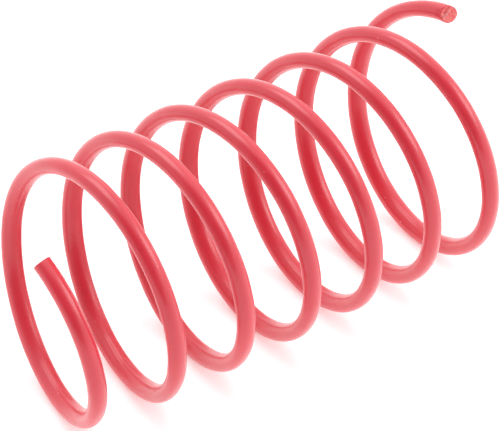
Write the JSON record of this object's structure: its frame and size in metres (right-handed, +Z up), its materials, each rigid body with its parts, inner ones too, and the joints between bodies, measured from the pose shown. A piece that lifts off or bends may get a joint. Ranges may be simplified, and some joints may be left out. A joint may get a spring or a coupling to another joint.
{
  "type": "coil spring",
  "caption": "Open-ended, right-handed helical compression spring of oval red-coated wire, with plain cut ends; one end runs slightly inwards.",
  "frame": {"origin": "middle of the bounding box at floor level, with the spring lying on its side", "axes": "+X along the spring's axis from the near end to the far end, +Z up; the near tip is just past the top towards -Y"},
  "size_m": [0.1218, 0.058, 0.0571],
  "materials": {
    "coated_wire": "red, satin to gloss plastic or powder coat over spring-steel wire"
  },
  "bodies": {
    "near_end": {"near_end": "coated_wire"},
    "coil_1_arc_2": {"coil_1_arc_2": "coated_wire"},
    "coil_1_arc_3": {"coil_1_arc_3": "coated_wire"},
    "coil_1_arc_4": {"coil_1_arc_4": "coated_wire"},
    "coil_1_arc_5": {"coil_1_arc_5": "coated_wire"},
    "coil_1_arc_6": {"coil_1_arc_6": "coated_wire"},
    "coil_1_arc_7": {"coil_1_arc_7": "coated_wire"},
    "coil_1_arc_8": {"coil_1_arc_8": "coated_wire"},
    "coil_2_arc_1": {"coil_2_arc_1": "coated_wire"},
    "coil_2_arc_2": {"coil_2_arc_2": "coated_wire"},
    "coil_2_arc_3": {"coil_2_arc_3": "coated_wire"},
    "coil_2_arc_4": {"coil_2_arc_4": "coated_wire"},
    "coil_2_arc_5": {"coil_2_arc_5": "coated_wire"},
    "coil_2_arc_6": {"coil_2_arc_6": "coated_wire"},
    "coil_2_arc_7": {"coil_2_arc_7": "coated_wire"},
    "coil_2_arc_8": {"coil_2_arc_8": "coated_wire"},
    "coil_3_arc_1": {"coil_3_arc_1": "coated_wire"},
    "coil_3_arc_2": {"coil_3_arc_2": "coated_wire"},
    "coil_3_arc_3": {"coil_3_arc_3": "coated_wire"},
    "coil_3_arc_4": {"coil_3_arc_4": "coated_wire"},
    "coil_3_arc_5": {"coil_3_arc_5": "coated_wire"},
    "coil_3_arc_6": {"coil_3_arc_6": "coated_wire"},
    "coil_3_arc_7": {"coil_3_arc_7": "coated_wire"},
    "coil_3_arc_8": {"coil_3_arc_8": "coated_wire"},
    "coil_4_arc_1": {"coil_4_arc_1": "coated_wire"},
    "coil_4_arc_2": {"coil_4_arc_2": "coated_wire"},
    "coil_4_arc_3": {"coil_4_arc_3": "coated_wire"},
    "coil_4_arc_4": {"coil_4_arc_4": "coated_wire"},
    "coil_4_arc_5": {"coil_4_arc_5": "coated_wire"},
    "coil_4_arc_6": {"coil_4_arc_6": "coated_wire"},
    "coil_4_arc_7": {"coil_4_arc_7": "coated_wire"},
    "coil_4_arc_8": {"coil_4_arc_8": "coated_wire"},
    "coil_5_arc_1": {"coil_5_arc_1": "coated_wire"},
    "coil_5_arc_2": {"coil_5_arc_2": "coated_wire"},
    "coil_5_arc_3": {"coil_5_arc_3": "coated_wire"},
    "coil_5_arc_4": {"coil_5_arc_4": "coated_wire"},
    "coil_5_arc_5": {"coil_5_arc_5": "coated_wire"},
    "coil_5_arc_6": {"coil_5_arc_6": "coated_wire"},
    "coil_5_arc_7": {"coil_5_arc_7": "coated_wire"},
    "coil_5_arc_8": {"coil_5_arc_8": "coated_wire"},
    "coil_6_arc_1": {"coil_6_arc_1": "coated_wire"},
    "coil_6_arc_2": {"coil_6_arc_2": "coated_wire"},
    "coil_6_arc_3": {"coil_6_arc_3": "coated_wire"},
    "coil_6_arc_4": {"coil_6_arc_4": "coated_wire"},
    "coil_6_arc_5": {"coil_6_arc_5": "coated_wire"},
    "coil_6_arc_6": {"coil_6_arc_6": "coated_wire"},
    "coil_6_arc_7": {"coil_6_arc_7": "coated_wire"},
    "coil_6_arc_8": {"coil_6_arc_8": "coated_wire"},
    "coil_7_arc_1": {"coil_7_arc_1": "coated_wire"},
    "coil_7_arc_2": {"coil_7_arc_2": "coated_wire"},
    "coil_7_arc_3": {"coil_7_arc_3": "coated_wire"},
    "coil_7_arc_4": {"coil_7_arc_4": "coated_wire"},
    "coil_7_arc_5": {"coil_7_arc_5": "coated_wire"},
    "coil_7_arc_6": {"coil_7_arc_6": "coated_wire"},
    "far_end": {"far_end": "coated_wire"}
  },
  "joints": [
    {"name": "compression", "type": "slide", "parent": "near_end", "child": "far_end", "axis": [-1, 0, 0], "range_m": [0, 0.071], "stiffness_N_per_m": 2400},
    {"name": "coil_1_arc_2_slide", "type": "slide", "parent": "near_end", "child": "coil_1_arc_2", "axis": [-1, 0, 0], "range_m": [0, 0.00132]},
    {"name": "coil_1_arc_3_slide", "type": "slide", "parent": "near_end", "child": "coil_1_arc_3", "axis": [-1, 0, 0], "range_m": [0, 0.00263]},
    {"name": "coil_1_arc_4_slide", "type": "slide", "parent": "near_end", "child": "coil_1_arc_4", "axis": [-1, 0, 0], "range_m": [0, 0.00395]},
    {"name": "coil_1_arc_5_slide", "type": "slide", "parent": "near_end", "child": "coil_1_arc_5", "axis": [-1, 0, 0], "range_m": [0, 0.00526]},
    {"name": "coil_1_arc_6_slide", "type": "slide", "parent": "near_end", "child": "coil_1_arc_6", "axis": [-1, 0, 0], "range_m": [0, 0.00658]},
    {"name": "coil_1_arc_7_slide", "type": "slide", "parent": "near_end", "child": "coil_1_arc_7", "axis": [-1, 0, 0], "range_m": [0, 0.00789]},
    {"name": "coil_1_arc_8_slide", "type": "slide", "parent": "near_end", "child": "coil_1_arc_8", "axis": [-1, 0, 0], "range_m": [0, 0.0092]},
    {"name": "coil_2_arc_1_slide", "type": "slide", "parent": "near_end", "child": "coil_2_arc_1", "axis": [-1, 0, 0], "range_m": [0, 0.01052]},
    {"name": "coil_2_arc_2_slide", "type": "slide", "parent": "near_end", "child": "coil_2_arc_2", "axis": [-1, 0, 0], "range_m": [0, 0.01183]},
    {"name": "coil_2_arc_3_slide", "type": "slide", "parent": "near_end", "child": "coil_2_arc_3", "axis": [-1, 0, 0], "range_m": [0, 0.01315]},
    {"name": "coil_2_arc_4_slide", "type": "slide", "parent": "near_end", "child": "coil_2_arc_4", "axis": [-1, 0, 0], "range_m": [0, 0.01446]},
    {"name": "coil_2_arc_5_slide", "type": "slide", "parent": "near_end", "child": "coil_2_arc_5", "axis": [-1, 0, 0], "range_m": [0, 0.01578]},
    {"name": "coil_2_arc_6_slide", "type": "slide", "parent": "near_end", "child": "coil_2_arc_6", "axis": [-1, 0, 0], "range_m": [0, 0.01709]},
    {"name": "coil_2_arc_7_slide", "type": "slide", "parent": "near_end", "child": "coil_2_arc_7", "axis": [-1, 0, 0], "range_m": [0, 0.01841]},
    {"name": "coil_2_arc_8_slide", "type": "slide", "parent": "near_end", "child": "coil_2_arc_8", "axis": [-1, 0, 0], "range_m": [0, 0.01972]},
    {"name": "coil_3_arc_1_slide", "type": "slide", "parent": "near_end", "child": "coil_3_arc_1", "axis": [-1, 0, 0], "range_m": [0, 0.02104]},
    {"name": "coil_3_arc_2_slide", "type": "slide", "parent": "near_end", "child": "coil_3_arc_2", "axis": [-1, 0, 0], "range_m": [0, 0.02235]},
    {"name": "coil_3_arc_3_slide", "type": "slide", "parent": "near_end", "child": "coil_3_arc_3", "axis": [-1, 0, 0], "range_m": [0, 0.02367]},
    {"name": "coil_3_arc_4_slide", "type": "slide", "parent": "near_end", "child": "coil_3_arc_4", "axis": [-1, 0, 0], "range_m": [0, 0.02498]},
    {"name": "coil_3_arc_5_slide", "type": "slide", "parent": "near_end", "child": "coil_3_arc_5", "axis": [-1, 0, 0], "range_m": [0, 0.0263]},
    {"name": "coil_3_arc_6_slide", "type": "slide", "parent": "near_end", "child": "coil_3_arc_6", "axis": [-1, 0, 0], "range_m": [0, 0.02761]},
    {"name": "coil_3_arc_7_slide", "type": "slide", "parent": "near_end", "child": "coil_3_arc_7", "axis": [-1, 0, 0], "range_m": [0, 0.02893]},
    {"name": "coil_3_arc_8_slide", "type": "slide", "parent": "near_end", "child": "coil_3_arc_8", "axis": [-1, 0, 0], "range_m": [0, 0.03024]},
    {"name": "coil_4_arc_1_slide", "type": "slide", "parent": "near_end", "child": "coil_4_arc_1", "axis": [-1, 0, 0], "range_m": [0, 0.03156]},
    {"name": "coil_4_arc_2_slide", "type": "slide", "parent": "near_end", "child": "coil_4_arc_2", "axis": [-1, 0, 0], "range_m": [0, 0.03287]},
    {"name": "coil_4_arc_3_slide", "type": "slide", "parent": "near_end", "child": "coil_4_arc_3", "axis": [-1, 0, 0], "range_m": [0, 0.03419]},
    {"name": "coil_4_arc_4_slide", "type": "slide", "parent": "near_end", "child": "coil_4_arc_4", "axis": [-1, 0, 0], "range_m": [0, 0.0355]},
    {"name": "coil_4_arc_5_slide", "type": "slide", "parent": "near_end", "child": "coil_4_arc_5", "axis": [-1, 0, 0], "range_m": [0, 0.03682]},
    {"name": "coil_4_arc_6_slide", "type": "slide", "parent": "near_end", "child": "coil_4_arc_6", "axis": [-1, 0, 0], "range_m": [0, 0.03813]},
    {"name": "coil_4_arc_7_slide", "type": "slide", "parent": "near_end", "child": "coil_4_arc_7", "axis": [-1, 0, 0], "range_m": [0, 0.03945]},
    {"name": "coil_4_arc_8_slide", "type": "slide", "parent": "near_end", "child": "coil_4_arc_8", "axis": [-1, 0, 0], "range_m": [0, 0.04076]},
    {"name": "coil_5_arc_1_slide", "type": "slide", "parent": "near_end", "child": "coil_5_arc_1", "axis": [-1, 0, 0], "range_m": [0, 0.04208]},
    {"name": "coil_5_arc_2_slide", "type": "slide", "parent": "near_end", "child": "coil_5_arc_2", "axis": [-1, 0, 0], "range_m": [0, 0.04339]},
    {"name": "coil_5_arc_3_slide", "type": "slide", "parent": "near_end", "child": "coil_5_arc_3", "axis": [-1, 0, 0], "range_m": [0, 0.0447]},
    {"name": "coil_5_arc_4_slide", "type": "slide", "parent": "near_end", "child": "coil_5_arc_4", "axis": [-1, 0, 0], "range_m": [0, 0.04602]},
    {"name": "coil_5_arc_5_slide", "type": "slide", "parent": "near_end", "child": "coil_5_arc_5", "axis": [-1, 0, 0], "range_m": [0, 0.04733]},
    {"name": "coil_5_arc_6_slide", "type": "slide", "parent": "near_end", "child": "coil_5_arc_6", "axis": [-1, 0, 0], "range_m": [0, 0.04865]},
    {"name": "coil_5_arc_7_slide", "type": "slide", "parent": "near_end", "child": "coil_5_arc_7", "axis": [-1, 0, 0], "range_m": [0, 0.04996]},
    {"name": "coil_5_arc_8_slide", "type": "slide", "parent": "near_end", "child": "coil_5_arc_8", "axis": [-1, 0, 0], "range_m": [0, 0.05128]},
    {"name": "coil_6_arc_1_slide", "type": "slide", "parent": "near_end", "child": "coil_6_arc_1", "axis": [-1, 0, 0], "range_m": [0, 0.05259]},
    {"name": "coil_6_arc_2_slide", "type": "slide", "parent": "near_end", "child": "coil_6_arc_2", "axis": [-1, 0, 0], "range_m": [0, 0.05391]},
    {"name": "coil_6_arc_3_slide", "type": "slide", "parent": "near_end", "child": "coil_6_arc_3", "axis": [-1, 0, 0], "range_m": [0, 0.05522]},
    {"name": "coil_6_arc_4_slide", "type": "slide", "parent": "near_end", "child": "coil_6_arc_4", "axis": [-1, 0, 0], "range_m": [0, 0.05654]},
    {"name": "coil_6_arc_5_slide", "type": "slide", "parent": "near_end", "child": "coil_6_arc_5", "axis": [-1, 0, 0], "range_m": [0, 0.05785]},
    {"name": "coil_6_arc_6_slide", "type": "slide", "parent": "near_end", "child": "coil_6_arc_6", "axis": [-1, 0, 0], "range_m": [0, 0.05917]},
    {"name": "coil_6_arc_7_slide", "type": "slide", "parent": "near_end", "child": "coil_6_arc_7", "axis": [-1, 0, 0], "range_m": [0, 0.06048]},
    {"name": "coil_6_arc_8_slide", "type": "slide", "parent": "near_end", "child": "coil_6_arc_8", "axis": [-1, 0, 0], "range_m": [0, 0.0618]},
    {"name": "coil_7_arc_1_slide", "type": "slide", "parent": "near_end", "child": "coil_7_arc_1", "axis": [-1, 0, 0], "range_m": [0, 0.06311]},
    {"name": "coil_7_arc_2_slide", "type": "slide", "parent": "near_end", "child": "coil_7_arc_2", "axis": [-1, 0, 0], "range_m": [0, 0.06443]},
    {"name": "coil_7_arc_3_slide", "type": "slide", "parent": "near_end", "child": "coil_7_arc_3", "axis": [-1, 0, 0], "range_m": [0, 0.06574]},
    {"name": "coil_7_arc_4_slide", "type": "slide", "parent": "near_end", "child": "coil_7_arc_4", "axis": [-1, 0, 0], "range_m": [0, 0.06706]},
    {"name": "coil_7_arc_5_slide", "type": "slide", "parent": "near_end", "child": "coil_7_arc_5", "axis": [-1, 0, 0], "range_m": [0, 0.06837]},
    {"name": "coil_7_arc_6_slide", "type": "slide", "parent": "near_end", "child": "coil_7_arc_6", "axis": [-1, 0, 0], "range_m": [0, 0.06969]}
  ],
  "couplings": [
    {"joint": "coil_1_arc_2_slide", "follows": "compression", "ratio": 0.018519},
    {"joint": "coil_1_arc_3_slide", "follows": "compression", "ratio": 0.037037},
    {"joint": "coil_1_arc_4_slide", "follows": "compression", "ratio": 0.055556},
    {"joint": "coil_1_arc_5_slide", "follows": "compression", "ratio": 0.074074},
    {"joint": "coil_1_arc_6_slide", "follows": "compression", "ratio": 0.092593},
    {"joint": "coil_1_arc_7_slide", "follows": "compression", "ratio": 0.11111},
    {"joint": "coil_1_arc_8_slide", "follows": "compression", "ratio": 0.12963},
    {"joint": "coil_2_arc_1_slide", "follows": "compression", "ratio": 0.14815},
    {"joint": "coil_2_arc_2_slide", "follows": "compression", "ratio": 0.16667},
    {"joint": "coil_2_arc_3_slide", "follows": "compression", "ratio": 0.18518},
    {"joint": "coil_2_arc_4_slide", "follows": "compression", "ratio": 0.2037},
    {"joint": "coil_2_arc_5_slide", "follows": "compression", "ratio": 0.22222},
    {"joint": "coil_2_arc_6_slide", "follows": "compression", "ratio": 0.24074},
    {"joint": "coil_2_arc_7_slide", "follows": "compression", "ratio": 0.25926},
    {"joint": "coil_2_arc_8_slide", "follows": "compression", "ratio": 0.27778},
    {"joint": "coil_3_arc_1_slide", "follows": "compression", "ratio": 0.2963},
    {"joint": "coil_3_arc_2_slide", "follows": "compression", "ratio": 0.31482},
    {"joint": "coil_3_arc_3_slide", "follows": "compression", "ratio": 0.33333},
    {"joint": "coil_3_arc_4_slide", "follows": "compression", "ratio": 0.35185},
    {"joint": "coil_3_arc_5_slide", "follows": "compression", "ratio": 0.37037},
    {"joint": "coil_3_arc_6_slide", "follows": "compression", "ratio": 0.38889},
    {"joint": "coil_3_arc_7_slide", "follows": "compression", "ratio": 0.40741},
    {"joint": "coil_3_arc_8_slide", "follows": "compression", "ratio": 0.42593},
    {"joint": "coil_4_arc_1_slide", "follows": "compression", "ratio": 0.44444},
    {"joint": "coil_4_arc_2_slide", "follows": "compression", "ratio": 0.46296},
    {"joint": "coil_4_arc_3_slide", "follows": "compression", "ratio": 0.48148},
    {"joint": "coil_4_arc_4_slide", "follows": "compression", "ratio": 0.5},
    {"joint": "coil_4_arc_5_slide", "follows": "compression", "ratio": 0.51852},
    {"joint": "coil_4_arc_6_slide", "follows": "compression", "ratio": 0.53704},
    {"joint": "coil_4_arc_7_slide", "follows": "compression", "ratio": 0.55556},
    {"joint": "coil_4_arc_8_slide", "follows": "compression", "ratio": 0.57407},
    {"joint": "coil_5_arc_1_slide", "follows": "compression", "ratio": 0.59259},
    {"joint": "coil_5_arc_2_slide", "follows": "compression", "ratio": 0.61111},
    {"joint": "coil_5_arc_3_slide", "follows": "compression", "ratio": 0.62963},
    {"joint": "coil_5_arc_4_slide", "follows": "compression", "ratio": 0.64815},
    {"joint": "coil_5_arc_5_slide", "follows": "compression", "ratio": 0.66667},
    {"joint": "coil_5_arc_6_slide", "follows": "compression", "ratio": 0.68519},
    {"joint": "coil_5_arc_7_slide", "follows": "compression", "ratio": 0.7037},
    {"joint": "coil_5_arc_8_slide", "follows": "compression", "ratio": 0.72222},
    {"joint": "coil_6_arc_1_slide", "follows": "compression", "ratio": 0.74074},
    {"joint": "coil_6_arc_2_slide", "follows": "compression", "ratio": 0.75926},
    {"joint": "coil_6_arc_3_slide", "follows": "compression", "ratio": 0.77778},
    {"joint": "coil_6_arc_4_slide", "follows": "compression", "ratio": 0.7963},
    {"joint": "coil_6_arc_5_slide", "follows": "compression", "ratio": 0.81481},
    {"joint": "coil_6_arc_6_slide", "follows": "compression", "ratio": 0.83333},
    {"joint": "coil_6_arc_7_slide", "follows": "compression", "ratio": 0.85185},
    {"joint": "coil_6_arc_8_slide", "follows": "compression", "ratio": 0.87037},
    {"joint": "coil_7_arc_1_slide", "follows": "compression", "ratio": 0.88889},
    {"joint": "coil_7_arc_2_slide", "follows": "compression", "ratio": 0.90741},
    {"joint": "coil_7_arc_3_slide", "follows": "compression", "ratio": 0.92593},
    {"joint": "coil_7_arc_4_slide", "follows": "compression", "ratio": 0.94444},
    {"joint": "coil_7_arc_5_slide", "follows": "compression", "ratio": 0.96296},
    {"joint": "coil_7_arc_6_slide", "follows": "compression", "ratio": 0.98148}
  ]
}
